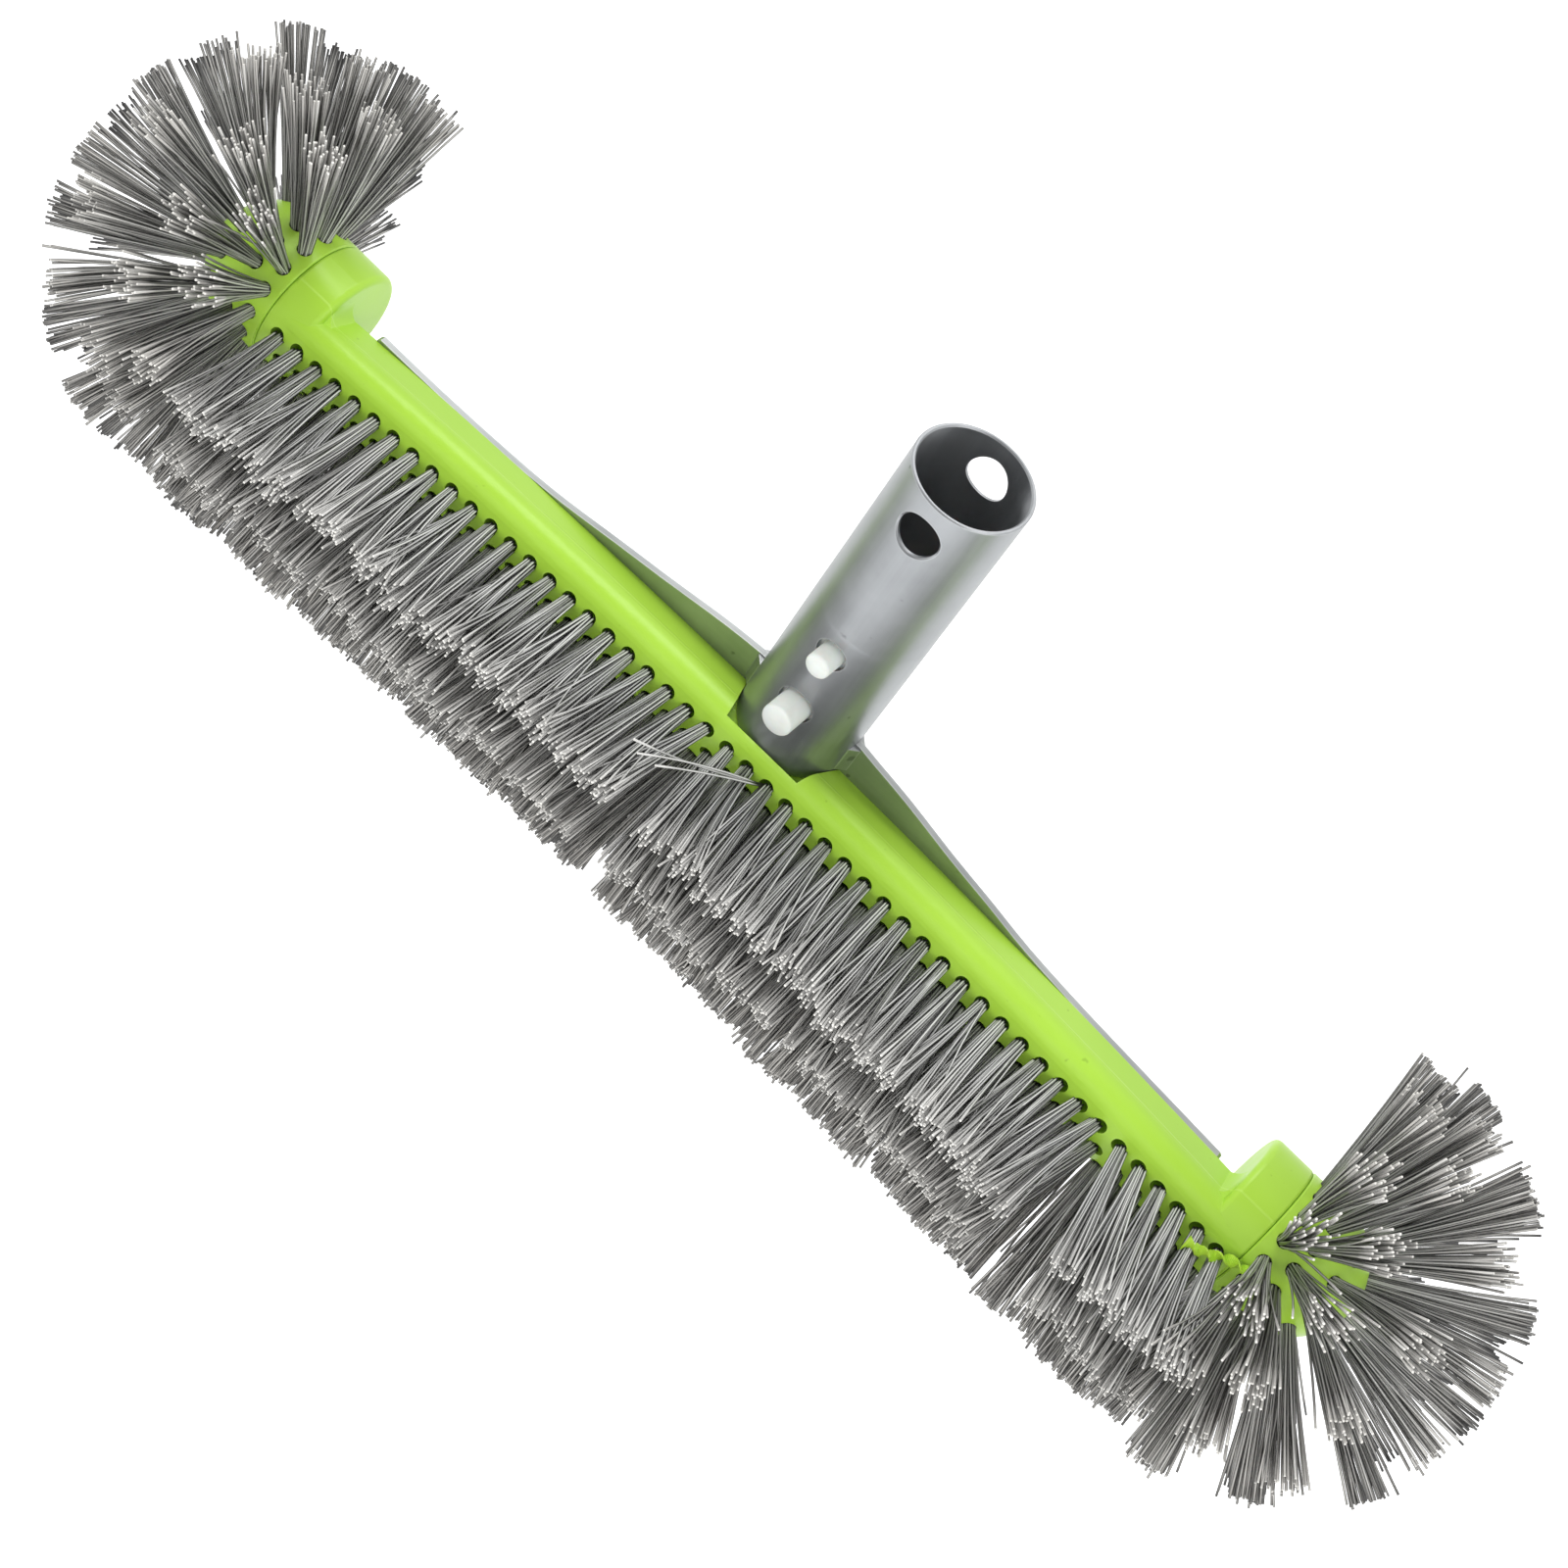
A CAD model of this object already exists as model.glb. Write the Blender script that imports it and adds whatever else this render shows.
"""A brush head: a green bar with end domes, tufts, a support plate and a handle tube.

The bar lies along X, Z is up, and the camera looks from the -Y side and above. The solid parts
come from the CAD nodes. The CAD tufts are replaced by separate filaments, and a string of
moulding flash is added near the +X end. Lengths are in metres unless a table says mm.
"""
import math

import bpy
import numpy as np
from mathutils import Matrix, Vector


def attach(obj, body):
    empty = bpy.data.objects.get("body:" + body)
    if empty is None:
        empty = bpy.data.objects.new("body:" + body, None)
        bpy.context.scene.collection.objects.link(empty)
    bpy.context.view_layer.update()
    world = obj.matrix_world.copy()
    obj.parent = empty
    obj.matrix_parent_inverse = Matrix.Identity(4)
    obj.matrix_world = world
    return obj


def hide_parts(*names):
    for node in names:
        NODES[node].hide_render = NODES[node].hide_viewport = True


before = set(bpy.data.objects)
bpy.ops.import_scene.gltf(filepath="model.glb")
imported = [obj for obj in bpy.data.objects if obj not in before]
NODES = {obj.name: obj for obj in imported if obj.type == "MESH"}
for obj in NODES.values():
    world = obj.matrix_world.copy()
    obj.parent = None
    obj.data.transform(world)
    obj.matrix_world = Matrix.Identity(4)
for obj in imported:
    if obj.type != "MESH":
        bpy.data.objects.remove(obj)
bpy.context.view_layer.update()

RNG = np.random.default_rng(20614)
MM = 0.001

BAR_AXIS_Z = -0.111
PARTING_Y = -0.0090  # parting line on the bar
PARTING_MIN_Z = -0.1060  # the line shows only above this height

# filaments
SIDES, SEGS = 6, 6
FILAMENT_RADIUS = 0.00030
TUFT_ROOT_RADIUS = 1.64 * MM
ROOT_INSET = 1.2 * MM  # how far filaments start below the hole's mouth
GOLDEN_ANGLE = 2.399963
END_BAND = 3e-3  # points this close to a CAD tuft's extreme belong to its end

# camera axes in the world
CAM_RIGHT = Vector((0.71264379, 0.58768337, 0.38310192))
CAM_UP = Vector((-0.69326858, 0.50642762, 0.51274725))
CAM_BACK = Vector((0.10731964, -0.63099867, 0.76832491))
CAM_PLACE = Vector((0.084768, -0.460407, 0.444404))


def add_object(name, data):
    obj = bpy.data.objects.new(name, data)
    bpy.context.scene.collection.objects.link(obj)
    return obj


# ------------------------------------------------------------------ shader graph
INPUTS = {"color": "Base Color", "rough": "Roughness", "metal": "Metallic",
          "spec": "Specular IOR Level", "normal": "Normal", "sss": "Subsurface Weight",
          "coat": "Coat Weight", "coat_rough": "Coat Roughness",
          "glow": "Emission Color", "glow_strength": "Emission Strength"}


class Graph:
    """Node tree of a material or world. Methods add nodes and return their output sockets."""

    def __init__(self, owner, output="ShaderNodeOutputMaterial",
                 shader="ShaderNodeBsdfPrincipled"):
        self.owner = owner
        owner.use_nodes = True
        self.tree = owner.node_tree
        self.tree.nodes.clear()
        out = self.node(output)
        self.shader = self.node(shader)
        self.put(out.inputs[0], self.shader.outputs[0])
        self.coords = self.node("ShaderNodeTexCoord")

    def node(self, kind, **settings):
        node = self.tree.nodes.new(kind)
        for key, value in settings.items():
            setattr(node, key, value)
        return node

    def put(self, socket, value):
        """Links a socket or sets a value; colours are given as r, g, b."""
        if isinstance(value, bpy.types.NodeSocket):
            self.tree.links.new(value, socket)
        elif socket.type == "RGBA":
            socket.default_value = (*value, 1.0)
        else:
            socket.default_value = value

    def scaled(self, scale):
        node = self.node("ShaderNodeMapping")
        self.put(node.inputs["Vector"], self.coords.outputs["Object"])
        self.put(node.inputs["Scale"], scale)
        return node.outputs[0]

    def noise(self, scale, detail=3.0, rough=0.5, vector=None, distortion=0.0):
        node = self.node("ShaderNodeTexNoise")
        self.put(node.inputs["Scale"], scale)
        self.put(node.inputs["Detail"], detail)
        self.put(node.inputs["Roughness"], rough)
        self.put(node.inputs["Distortion"], distortion)
        self.put(node.inputs["Vector"], vector or self.coords.outputs["Object"])
        return node.outputs["Fac"]

    def math(self, operation, a, b=0.0, clamp=False):
        node = self.node("ShaderNodeMath", operation=operation, use_clamp=clamp)
        self.put(node.inputs[0], a)
        self.put(node.inputs[1], b)
        return node.outputs[0]

    def times(self, a, b):
        return self.math("MULTIPLY", a, b)

    def plus(self, a, b, clamp=False):
        return self.math("ADD", a, b, clamp)

    def dot(self, a, b):
        node = self.node("ShaderNodeVectorMath", operation="DOT_PRODUCT")
        self.put(node.inputs[0], a)
        self.put(node.inputs[1], b)
        return node.outputs["Value"]

    def attribute(self, name, output="Fac"):
        return self.node("ShaderNodeAttribute", attribute_name=name).outputs[output]

    def ramp(self, value, span, to=(0.0, 1.0), interpolation="LINEAR"):
        """Maps span onto to, clamped."""
        node = self.node("ShaderNodeMapRange", clamp=True, interpolation_type=interpolation)
        self.put(node.inputs["Value"], value)
        for label, number in zip(("From Min", "From Max", "To Min", "To Max"), (*span, *to)):
            self.put(node.inputs[label], number)
        return node.outputs[0]

    def mix(self, factor, under, over, share=None):
        """Lays over on under by factor, which share scales down."""
        if share is not None:
            factor = self.times(factor, share)
        node = self.node("ShaderNodeMix", data_type="RGBA")
        self.put(node.inputs[0], factor)
        self.put(node.inputs[6], under)
        self.put(node.inputs[7], over)
        return node.outputs[2]

    def bump(self, height, strength, distance, normal=None):
        node = self.node("ShaderNodeBump")
        self.put(node.inputs["Strength"], strength)
        self.put(node.inputs["Distance"], distance)
        self.put(node.inputs["Height"], height)
        if normal is not None:
            self.put(node.inputs["Normal"], normal)
        return node.outputs[0]

    def edge(self, radius):
        """0 on flat parts, towards 1 near edges."""
        bevel = self.node("ShaderNodeBevel", samples=3)
        self.put(bevel.inputs["Radius"], radius)
        geometry = self.node("ShaderNodeNewGeometry")
        flatness = self.dot(bevel.outputs[0], geometry.outputs["Normal"])
        return self.ramp(flatness, span=(0.995, 0.85))

    def finish(self, **values):
        """Fills the shader's inputs and returns the material."""
        for key, value in values.items():
            self.put(self.shader.inputs[INPUTS[key]], value)
        return self.owner


def new_material(name):
    return Graph(bpy.data.materials.new(name))


def srgb(*channels):
    """Linear colour from 0-255 sRGB channels."""
    def linear(c):
        return c / 12.92 if c <= 0.04045 else ((c + 0.055) / 1.055) ** 2.4
    return tuple(linear(c / 255.0) for c in channels)


def shade(color, gain):
    return tuple(min(1.0, c * gain) for c in color)


# ------------------------------------------------------------------ materials
def green_plastic(name, parting_line=False):
    m = new_material(name)
    big = m.noise(scale=22.0, rough=0.55)
    fine = m.noise(scale=900.0, detail=4.0, rough=0.6)
    flow = m.noise(scale=60.0, detail=5.0, rough=0.6, vector=m.scaled((0.18, 1.0, 1.0)),
                   distortion=0.6)
    base = m.mix(m.ramp(big, span=(0.35, 0.7)), srgb(163, 208, 60), srgb(170, 214, 68))
    base = m.mix(m.ramp(flow, span=(0.55, 0.78), to=(0.0, 0.35)), base, srgb(174, 220, 72))
    # pale scuffs on the edges, then sparse dark specks
    worn = m.edge(radius=0.0009)
    scuff = m.times(worn, m.ramp(m.noise(scale=330.0), span=(0.45, 0.62)))
    base = m.mix(scuff, base, srgb(196, 232, 120), share=0.45)
    specks = m.noise(scale=420.0, detail=2.0, rough=0.4)
    base = m.mix(m.ramp(specks, span=(0.74, 0.80), to=(0.0, 0.35)), base, srgb(96, 140, 22))
    # roughness follows the flow, with a little fine grain
    rough = m.plus(m.ramp(flow, span=(0.3, 0.75), to=(0.30, 0.42)), m.times(fine, 0.06))
    # height is 35 % grain and 65 % soft waves
    height = m.plus(m.times(fine, 0.35), m.times(m.noise(scale=150.0, detail=2.0), 0.65))
    normal = m.bump(height, strength=0.16, distance=0.00025)
    if parting_line:
        place = m.node("ShaderNodeSeparateXYZ")
        m.put(place.inputs[0], m.coords.outputs["Object"])
        offset = m.math("ABSOLUTE", m.plus(place.outputs["Y"], -PARTING_Y))
        band = m.ramp(offset, span=(0.00035, 0.00008))
        height_above = m.math("SUBTRACT", place.outputs["Z"], PARTING_MIN_Z)
        band = m.times(band, m.ramp(height_above, span=(0.0, 0.002)))
        base = m.mix(band, base, srgb(205, 240, 120), share=0.22)
        normal = m.bump(band, strength=0.35, distance=0.00018, normal=normal)
    return m.finish(color=base, rough=rough, spec=0.42, normal=normal, coat=0.08, coat_rough=0.2)


def aluminium(name, axis, dark, light, rough):
    """Satin aluminium with fine drawing lines along axis; rough is its lowest and highest."""
    m = new_material(name)
    scale = [340.0, 340.0, 340.0]
    scale[axis] = 7.0
    lines = m.noise(scale=1.0, detail=4.0, rough=0.65, vector=m.scaled(scale))
    cloud = m.noise(scale=45.0, detail=4.0, rough=0.55)
    grain = m.noise(scale=1500.0, rough=0.7)
    base = m.mix(m.ramp(cloud, span=(0.3, 0.7)), dark, light)
    base = m.mix(m.ramp(lines, span=(0.35, 0.7), to=(0.0, 0.25)), base, shade(light, gain=1.25))
    # sparse dark pits, then bright edges
    pits = m.noise(scale=260.0, detail=2.0, rough=0.3)
    base = m.mix(m.ramp(pits, span=(0.755, 0.79), to=(0.0, 0.55)), base, shade(dark, gain=0.35))
    base = m.mix(m.edge(radius=0.0006), base, (0.86, 0.87, 0.88), share=0.5)
    blend = m.plus(m.times(cloud, 0.5), m.times(lines, 0.5))
    roughness = m.ramp(blend, span=(0.3, 0.7), to=rough)
    normal = m.bump(m.plus(lines, m.times(grain, 0.6)), strength=0.12, distance=0.00012)
    return m.finish(color=base, rough=roughness, metal=0.88, normal=normal)


def white_plastic():
    m = new_material("white_buttons")
    cloud = m.ramp(m.noise(scale=180.0), span=(0.3, 0.7))
    base = m.mix(cloud, srgb(214, 214, 208), srgb(226, 226, 222))
    dirt = m.noise(scale=520.0, detail=4.0, rough=0.6)
    base = m.mix(m.ramp(dirt, span=(0.62, 0.78), to=(0.0, 0.25)), base, srgb(190, 188, 178))
    rough = m.ramp(m.noise(scale=700.0), span=(0.3, 0.7), to=(0.34, 0.5))
    normal = m.bump(m.noise(scale=1100.0), strength=0.12, distance=0.00015)
    return m.finish(color=base, rough=rough, spec=0.45, normal=normal, sss=0.18)


def steel(name, color, rough):
    m = new_material(name)
    lines = m.noise(scale=900.0, rough=0.6)
    base = m.mix(m.ramp(lines, span=(0.3, 0.7)), shade(color, gain=0.8), color)
    base = m.mix(m.edge(radius=0.0003), base, (0.9, 0.9, 0.9), share=0.6)
    roughness = m.ramp(lines, span=(0.3, 0.7), to=(rough, rough + 0.15))
    normal = m.bump(lines, strength=0.15, distance=0.0001)
    return m.finish(color=base, rough=roughness, metal=1.0, normal=normal)


def bristle(name, cut_end=False):
    """Grey filament. Attribute fil is a random per filament, len runs from 0 at the root to 1
    at the tip, row is the warm tint of its row and axis is its direction."""
    m = new_material(name)
    fil, along, row = m.attribute("fil"), m.attribute("len"), m.attribute("row")
    base = m.mix(m.ramp(fil, span=(0.0, 1.0)), srgb(146, 147, 147), srgb(230, 230, 228))
    warm = m.mix(m.ramp(fil, span=(0.0, 1.0)), srgb(128, 122, 113), srgb(200, 194, 183))
    # warmer towards the tip and in the tinted rows
    warmth = m.plus(m.ramp(along, span=(0.5, 1.0), to=(0.0, 0.3)), m.times(row, 0.65), clamp=True)
    base = m.mix(warmth, base, warm)
    # pull the palest filaments to light grey and the darkest to dark grey
    base = m.mix(m.ramp(fil, span=(0.86, 0.90)), base, srgb(208, 208, 205), share=0.5)
    base = m.mix(m.ramp(fil, span=(0.20, 0.16)), base, srgb(92, 90, 86), share=0.55)
    streak = m.noise(scale=1400.0, detail=2.0)
    base = m.mix(m.ramp(streak, span=(0.35, 0.7), to=(0.0, 0.2)), base, srgb(205, 205, 202))
    # each filament is darker along its two sides; facing is relative to the most its
    # direction allows, which is kept off zero where it is seen end on
    axis = m.attribute("axis", output="Vector")
    geometry = m.node("ShaderNodeNewGeometry")
    view = geometry.outputs["Incoming"]
    end_on = m.dot(axis, view)
    most = m.math("MAXIMUM", m.math("SUBTRACT", 1.0, m.times(end_on, end_on)), 0.02)
    most = m.math("SQRT", most)
    facing = m.math("ABSOLUTE", m.dot(geometry.outputs["Normal"], view))
    facing = m.math("DIVIDE", facing, most)
    base = m.mix(m.ramp(facing, span=(0.97, 0.54), to=(0.0, 0.97)), base, srgb(18, 18, 18))
    # dark roots
    base = m.mix(m.ramp(along, span=(0.08, 0.0), to=(0.0, 0.65)), base, srgb(60, 62, 58))
    if cut_end:
        base = m.mix(m.ramp(fil, span=(0.0, 1.0), to=(0.55, 0.95)), base, srgb(232, 230, 224))
    rough = m.ramp(streak, span=(0.3, 0.7), to=(0.30, 0.46))
    normal = m.bump(streak, strength=0.2, distance=0.00006)
    return m.finish(color=base, rough=rough, spec=0.55, normal=normal)


def flash_green():
    m = new_material("flash_green")
    base = m.mix(m.noise(scale=400.0), srgb(150, 206, 40), srgb(196, 226, 78))
    normal = m.bump(m.noise(scale=1200.0), strength=0.3, distance=0.0002)
    return m.finish(color=base, rough=0.38, spec=0.45, normal=normal)


def pale_floor():
    m = new_material("floor_pale")
    base = m.mix(m.noise(scale=3.0), (0.90, 0.90, 0.90), (0.93, 0.93, 0.93))
    return m.finish(color=base, rough=0.9, spec=0.1, glow=(1, 1, 1), glow_strength=0.45)


GREEN_BAR = green_plastic("green_bar", parting_line=True)
GREEN = green_plastic("green_shell")
TUBE = aluminium("tube_satin", axis=2, dark=srgb(150, 153, 156), light=srgb(172, 175, 178),
                 rough=(0.34, 0.46))
PLATE = aluminium("plate_mill", axis=0, dark=srgb(152, 156, 155), light=srgb(178, 181, 180),
                  rough=(0.34, 0.48))
WHITE = white_plastic()
STEEL = steel("screw_zinc", srgb(190, 190, 186), rough=0.28)
WIRE = steel("anchor_wire", srgb(200, 198, 190), rough=0.22)
BRISTLE = bristle("bristle_side")
BRISTLE_CUT = bristle("bristle_cut", cut_end=True)


def material_for(name):
    """Material of a CAD node, or None for the tufts, which are replaced."""
    if name == "brush_bar":
        return GREEN_BAR
    if name.startswith("end_dome"):
        return GREEN
    if name == "handle_tube":
        return TUBE
    if name in ("support_plate", "tube_weld_beads"):
        return PLATE
    if name.startswith("clip_"):
        return WHITE
    if "anchors" in name:
        return WIRE
    if "screws" in name or "washers" in name:
        return STEEL
    return None


for name, node in NODES.items():
    material = material_for(name)
    if material:
        node.data.materials.clear()
        node.data.materials.append(material)


# ------------------------------------------------------------------ tufts
def unit(vector):
    """Normalised along the last axis."""
    return vector / np.linalg.norm(vector, axis=-1, keepdims=True)


def loose_parts(mesh):
    """Point arrays of a mesh's separate solids, with coincident vertices merged."""
    co = np.empty(len(mesh.vertices) * 3, np.float32)
    mesh.vertices.foreach_get("co", co)
    co = co.reshape(-1, 3).astype(float)
    microns = np.round(co * 1e6).astype(np.int64)
    unique, merged = np.unique(microns, axis=0, return_inverse=True)
    points = unique / 1e6
    edges = np.empty(len(mesh.edges) * 2, np.int32)
    mesh.edges.foreach_get("vertices", edges)
    edges = merged.reshape(-1)[edges.reshape(-1, 2)]
    # spread the lowest label over each solid until nothing changes
    labels = np.arange(len(points))
    while True:
        low = np.minimum(labels[edges[:, 0]], labels[edges[:, 1]])
        new = labels.copy()
        np.minimum.at(new, edges[:, 0], low)
        np.minimum.at(new, edges[:, 1], low)
        new = new[new]
        if (new == labels).all():
            break
        labels = new
    return [points[labels == label] for label in np.unique(labels)]


def end_radius(points):
    return np.linalg.norm(points - points.mean(0), axis=1).max()


def tuft_axes(node):
    """Root, elbow and tip centres of a CAD node's tufts: straight in the hole up to the
    elbow, then a leaning fan."""
    tufts = []
    for points in loose_parts(NODES[node].data):
        centred = points - points.mean(0)
        _, _, directions = np.linalg.svd(centred, full_matrices=False)
        t = centred @ directions[0]
        at_far, at_near = t > t.max() - END_BAND, t < t.min() + END_BAND
        far, near = points[at_far], points[at_near]
        elbow = points[~at_far & ~at_near]
        # the tip is the wider end
        if end_radius(far) < end_radius(near):
            far, near = near, far
        tufts.append((near.mean(0), elbow.mean(0), far.mean(0)))
    # along the bar, then around it
    tufts.sort(key=lambda tuft: (round(tuft[0][0], 5),
                                 round(math.atan2(tuft[0][2] - BAR_AXIS_Z, tuft[0][1]), 4)))
    return tufts


def filament_mesh(paths, radii, rand, row):
    """One mesh of closed filaments along paths (count, stations, 3). Sides use material 0,
    both ends are flat and only the tips use material 1."""
    n, k = paths.shape[:2]
    tangent = unit(np.gradient(paths, axis=1))
    ref = np.where(np.abs(tangent[:, :1, 2:3]) < 0.8, np.array([0, 0, 1.0]),
                   np.array([1.0, 0, 0]))
    u = unit(np.cross(tangent, np.broadcast_to(ref, tangent.shape)))
    v = np.cross(tangent, u)
    turn = (np.arange(SIDES) * 2 * math.pi / SIDES)[None, None, :] + (rand * 6.28)[:, None, None]
    ring = np.cos(turn)[..., None] * u[:, :, None, :] + np.sin(turn)[..., None] * v[:, :, None, :]
    co = (paths[:, :, None, :] + radii[:, None, None, None] * ring).reshape(-1, 3)

    base = (np.arange(n) * k * SIDES)[:, None, None]
    i = np.arange(k - 1)[None, :, None] * SIDES
    j = np.arange(SIDES)[None, None, :]
    j2 = (j + 1) % SIDES
    quads = np.stack([base + i + j, base + i + j2, base + i + SIDES + j2, base + i + SIDES + j],
                     -1).reshape(-1, 4)
    roots = base[:, :, 0] + np.arange(SIDES)[None, ::-1]
    tips = base[:, :, 0] + (k - 1) * SIDES + np.arange(SIDES)[None, :]
    loops = np.concatenate([quads.ravel(), roots.ravel(), tips.ravel()])
    sizes = np.concatenate([np.full(len(quads), 4), np.full(2 * n, SIDES)])
    slots = np.zeros(len(sizes), np.int32)
    slots[-n:] = 1
    smooth = np.ones(len(sizes), bool)
    smooth[len(quads):] = False

    mesh = bpy.data.meshes.new("filaments")
    mesh.vertices.add(len(co))
    mesh.vertices.foreach_set("co", co.astype(np.float32).ravel())
    mesh.loops.add(len(loops))
    mesh.loops.foreach_set("vertex_index", loops.astype(np.int32))
    mesh.polygons.add(len(sizes))
    mesh.polygons.foreach_set("loop_start", (np.cumsum(sizes) - sizes).astype(np.int32))
    mesh.polygons.foreach_set("material_index", slots)
    mesh.polygons.foreach_set("use_smooth", smooth)
    mesh.update(calc_edges=True)
    for name, values in (("fil", np.repeat(rand, k * SIDES)),
                         ("len", np.tile(np.repeat(np.linspace(0, 1, k), SIDES), n)),
                         ("row", np.repeat(row, k * SIDES))):
        layer = mesh.attributes.new(name, "FLOAT", "POINT")
        layer.data.foreach_set("value", values.astype(np.float32))
    layer = mesh.attributes.new("axis", "FLOAT_VECTOR", "POINT")
    axes = np.repeat(tangent.reshape(-1, 3), SIDES, axis=0)
    layer.data.foreach_set("vector", axes.astype(np.float32).ravel())
    mesh.materials.append(BRISTLE)
    mesh.materials.append(BRISTLE_CUT)
    return mesh


def bundle(root, elbow, tip, mouth, lean, count, tip_radius, tint, wild, split):
    """Paths, radii, randoms and tints of one tuft's filaments. mouth is the distance from root
    to the hole's mouth, wild scales the disorder. The tuft is two halves that part by about
    split, mostly along the bar."""
    hole = unit(elbow - root)
    start = root + hole * mouth
    axis = tip - start
    total = np.linalg.norm(axis)
    d = axis / total
    ref = np.array([1.0, 0, 0]) if abs(d[0]) < 0.7 else np.array([0, 0, 1.0])
    side_a = unit(ref - d * (ref @ d))
    side_b = np.cross(d, side_a)

    # sunflower packing at the root, fanned out at the tip
    i = np.arange(count)
    angle = i * GOLDEN_ANGLE + RNG.uniform(0, 6.28)
    r_root = TUFT_ROOT_RADIUS * np.sqrt((i + 0.5) / count)
    angle = angle + RNG.normal(0, 0.12, count)
    r_tip = (tip_radius * (r_root / TUFT_ROOT_RADIUS) * RNG.uniform(0.84, 1.10, count)
             + RNG.normal(0, 0.16 * MM, count))

    # lengths vary by tuft and by filament; one in twenty is off by more
    length = (total * (1 + RNG.normal(0, 0.006)) + RNG.normal(0, 0.45 * MM, count)
              + RNG.normal(0, 0.55 * MM))
    uneven = RNG.uniform(0, 1, count) < 0.05
    length += np.where(uneven, RNG.uniform(-3.5, 1.2, count) * MM, 0)

    # tilt and curl of each filament, a few strong tilts, then the whole tuft's
    tilt = RNG.normal(0, 0.020 * wild, (count, 2))
    curl = RNG.normal(0, 0.014 * wild, (count, 2))
    odd = RNG.uniform(0, 1, count) < 0.03 * wild
    tilt += np.where(odd[:, None], RNG.normal(0, 0.09, (count, 2)), 0)
    tilt += RNG.normal(0, 0.018 * wild, 2)
    curl += RNG.normal(0, 0.016 * wild, 2)
    half = np.where(np.cos(angle) > RNG.normal(0, 0.25), 1.0, -1.0)
    tilt[:, 0] += abs(RNG.normal(0, split)) * half * RNG.uniform(0.8, 1.1, count)

    # the first station is inside the hole, the others run from its mouth to the tip
    path = np.zeros((count, SEGS + 1, 3))
    for k, f in enumerate(np.concatenate([[0.0], np.linspace(0, 1, SEGS)])):
        base = start if k else start - hole * ROOT_INSET
        radius = r_root + (r_tip - r_root) * f
        swing = length * (f * (0.55 + 0.45 * f))
        bow = length * (f * f)
        off_a = radius * np.cos(angle) + swing * tilt[:, 0] + bow * curl[:, 0]
        off_b = radius * np.sin(angle) + swing * tilt[:, 1] + bow * curl[:, 1]
        path[:, k] = (base + (f * length)[:, None] * d + off_a[:, None] * side_a
                      + off_b[:, None] * side_b + swing[:, None] * lean)
    rand = RNG.uniform(0, 1, count)
    radii = FILAMENT_RADIUS * RNG.uniform(0.92, 1.08, count)
    return path, radii, rand, np.full(count, tint)


# filaments sprung out across the neighbouring tufts: root mm, direction, length mm, sag mm
STRAYS = (((5.9, -17.2, -100.4), (-0.56, -0.72, 0.41), 43.0, -1.5),
          ((6.2, -17.3, -100.5), (-0.53, -0.75, 0.37), 41.0, 1.6),
          ((6.6, -17.3, -100.5), (-0.50, -0.78, 0.36), 36.0, 0.8))


def stray_filaments():
    paths = []
    t = np.linspace(0, 1, SEGS + 1)
    for root, direction, length, sag in STRAYS:
        path = np.array(root) * MM + t[:, None] * length * MM * unit(np.array(direction))
        path[:, 2] += sag * MM * 4 * t * (1 - t)
        paths.append(path)
    n = len(paths)
    return np.array(paths), np.full(n, FILAMENT_RADIUS), np.full(n, 0.95), np.zeros(n)


def add_tufts(node, mouth, lean, extra=(), **style):
    parts = [bundle(*centres, mouth, RNG.normal(0, lean, 3), **style)
             for centres in tuft_axes(node)]
    parts.extend(extra)
    obj = add_object("bristles_" + node,
                     filament_mesh(*(np.concatenate(column) for column in zip(*parts))))
    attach(obj, "root")
    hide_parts(node)


for k, tint in enumerate((0.0, 0.15, 0.4, 0.7, 0.9)):
    add_tufts("tuft_row_%d" % (k + 1), mouth=(7.7 if k < 4 else 6.2) * MM, lean=0.018,
              extra=[stray_filaments()] if k == 0 else (), tint=tint, wild=1.0 + 0.1 * k,
              tip_radius=3.0 * MM, count=27, split=0.035)

for side in ("left", "right"):
    for part in ("ring_1", "ring_2", "ring_3", "ring_4", "crown"):
        add_tufts("dome_tufts_%s_%s" % (side, part), mouth=5.9 * MM, lean=0.022, tint=0.35,
                  wild=1.2, tip_radius=4.9 * MM, count=42, split=0.03)


# ------------------------------------------------------------------ moulding flash
# string of flash at the +X seam: x, y, z, width, in mm
FLASH_STRING = np.array((
    (146.34, -23.89, -104.36, 2.6), (147.96, -23.23, -104.98, 2.5), (149.74, -22.3, -105.39, 2.0),
    (151.2, -21.29, -105.45, 2.0), (153.09, -20.39, -105.99, 2.2), (154.35, -19.16, -105.3, 2.2),
    (156.6, -18.35, -104.73, 2.0), (158.94, -17.88, -104.61, 1.9), (160.63, -17.62, -104.21, 1.9),
    (162.74, -17.46, -104.35, 0.8), (164.77, -17.46, -104.63, 0.7), (166.35, -17.17, -104.15, 0.6)))
FLASH_LIFT = 1.3 * np.array((0.107, -0.631, 0.768))  # mm, towards the camera
FLASH_WIDEN = 1.4
FLASH_THICK = 0.0006
FLASH_TURNS = 2.6
FLASH_SAMPLES = 64


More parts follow.
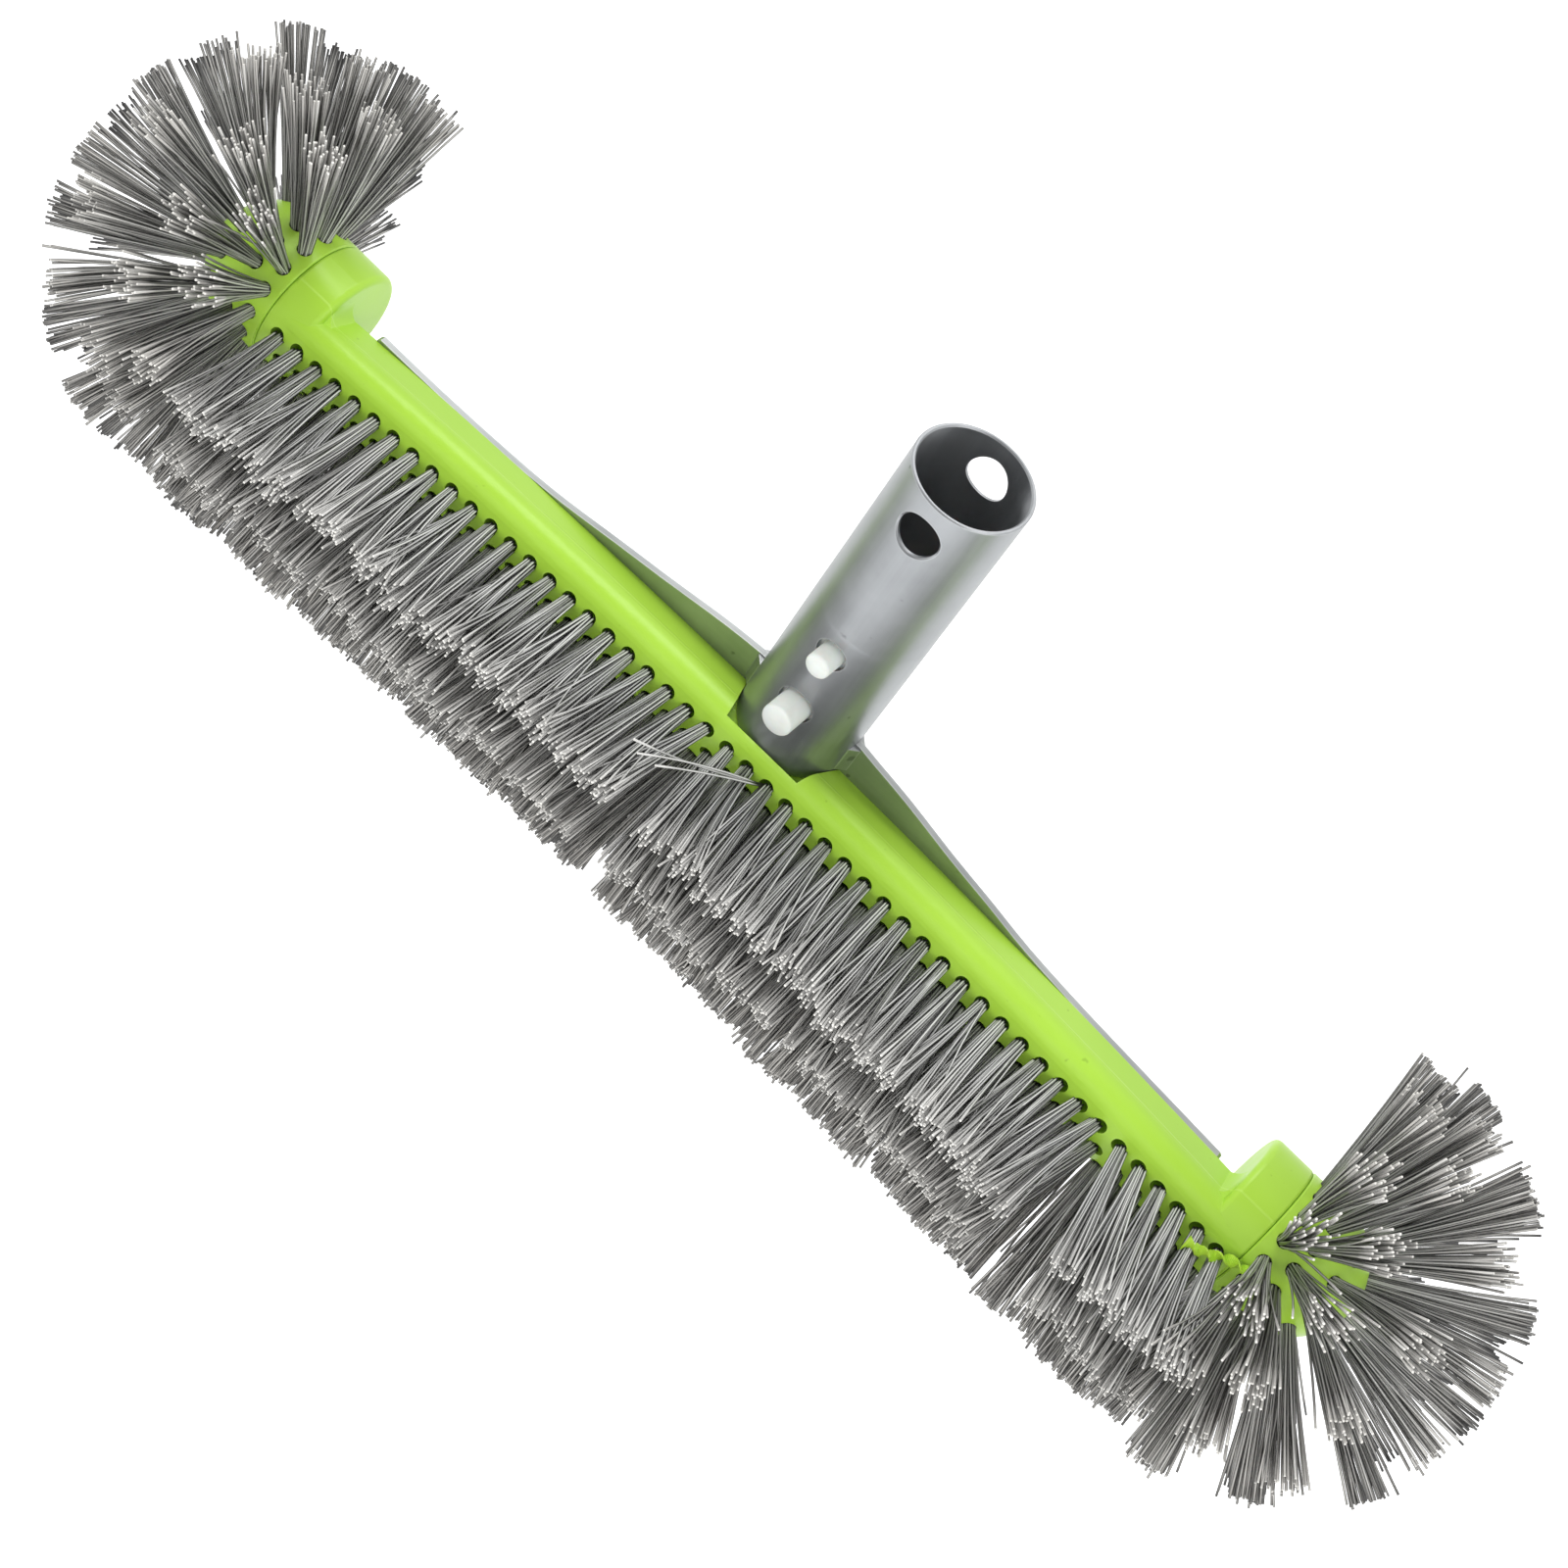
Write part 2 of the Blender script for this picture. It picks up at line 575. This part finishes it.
def flash_string():
    """A twisted strip of rectangular section through the points of FLASH_STRING."""
    points = (FLASH_STRING[:, :3] + FLASH_LIFT) * MM
    widths = FLASH_STRING[:, 3] * FLASH_WIDEN * MM
    steps = np.linalg.norm(np.diff(points, axis=0), axis=1)
    s = np.concatenate([[0], np.cumsum(steps)])
    q = np.linspace(0, s[-1], FLASH_SAMPLES)
    centre = np.stack([np.interp(q, s, points[:, c]) for c in range(3)], 1)
    # running mean over five samples
    padded = np.pad(centre, ((2, 2), (0, 0)), mode="edge")
    kernel = np.ones(5) / 5
    centre = np.stack([np.convolve(padded[:, c], kernel, mode="valid") for c in range(3)], 1)
    width = np.interp(q, s, widths) * RNG.uniform(0.9, 1.1, len(q))
    tangent = unit(np.gradient(centre, axis=0))
    u = unit(np.cross(tangent, np.array([0.1, -0.63, 0.77])))
    v = np.cross(tangent, u)
    twist = (q / s[-1] * FLASH_TURNS * 2 * math.pi)[:, None]
    across = np.cos(twist) * u + np.sin(twist) * v
    through = np.cross(tangent, across)
    co = [tuple(centre[k] + across[k] * x * width[k] / 2 + through[k] * y * FLASH_THICK / 2)
          for k in range(len(q)) for x, y in ((-1, -1), (1, -1), (1, 1), (-1, 1))]
    faces = [(4 * k + j, 4 * k + (j + 1) % 4, 4 * k + 4 + (j + 1) % 4, 4 * k + 4 + j)
             for k in range(len(q) - 1) for j in range(4)]
    last = 4 * (len(q) - 1)
    faces += [(3, 2, 1, 0), (last, last + 1, last + 2, last + 3)]
    mesh = bpy.data.meshes.new("flash_string")
    mesh.from_pydata(co, [], faces)
    mesh.materials.append(flash_green())
    obj = add_object("flash_string", mesh)
    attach(obj, "root")


flash_string()


# ------------------------------------------------------------------ stage
def add_floor(half, z):
    mesh = bpy.data.meshes.new("floor")
    corners = [(-half, -half, z), (half, -half, z), (half, half, z), (-half, half, z)]
    mesh.from_pydata(corners, [], [(0, 1, 2, 3)])
    floor = add_object("floor", mesh)
    mesh.materials.append(pale_floor())


def add_camera():
    data = bpy.data.cameras.new("camera")
    data.sensor_width = 36.0
    data.lens = 70.369
    data.clip_end = 20.0
    camera = add_object("camera", data)
    turn = Matrix((CAM_RIGHT, CAM_UP, CAM_BACK)).transposed().to_4x4()
    camera.matrix_world = Matrix.Translation(CAM_PLACE) @ turn
    bpy.context.scene.camera = camera


def add_tent():
    """Bright all round, darker around the lens."""
    world = bpy.data.worlds.new("tent")
    bpy.context.scene.world = world
    g = Graph(world, output="ShaderNodeOutputWorld", shader="ShaderNodeBackground")
    towards_lens = g.dot(g.coords.outputs["Generated"], CAM_BACK)
    strength = g.ramp(towards_lens, span=(0.15, 0.85), to=(1.0, 0.36),
                      interpolation="SMOOTHSTEP")
    g.put(g.shader.inputs["Strength"], strength)
    g.put(g.shader.inputs["Color"], (1.0, 1.0, 1.0))


def area_light(name, place, target, size, power):
    light = bpy.data.lights.new(name, "AREA")
    light.shape = "RECTANGLE"
    light.size, light.size_y = size
    light.energy = power
    obj = add_object(name, light)
    aim = (Vector(target) - Vector(place)).to_track_quat("-Z", "Y")
    obj.matrix_world = Matrix.Translation(Vector(place)) @ aim.to_matrix().to_4x4()
    return obj


add_floor(half=6.0, z=-0.46)
add_camera()
add_tent()
area_light("key", (-0.35, 0.25, 0.95), target=(0.0, -0.02, -0.1), size=(0.7, 0.5), power=5.5)
area_light("fill", (0.75, -0.35, 0.45), target=(0.05, -0.02, -0.1), size=(0.6, 0.6), power=2.0)
front = area_light("front", (0.0, -1.0, 0.35), target=(0.0, -0.02, -0.12), size=(1.6, 0.9),
                   power=8.8)
front.visible_glossy = False

view = bpy.context.scene.view_settings
view.view_transform = "Standard"
view.look = "None"
view.exposure = 0.0
view.gamma = 1.0

bpy.context.view_layer.update()
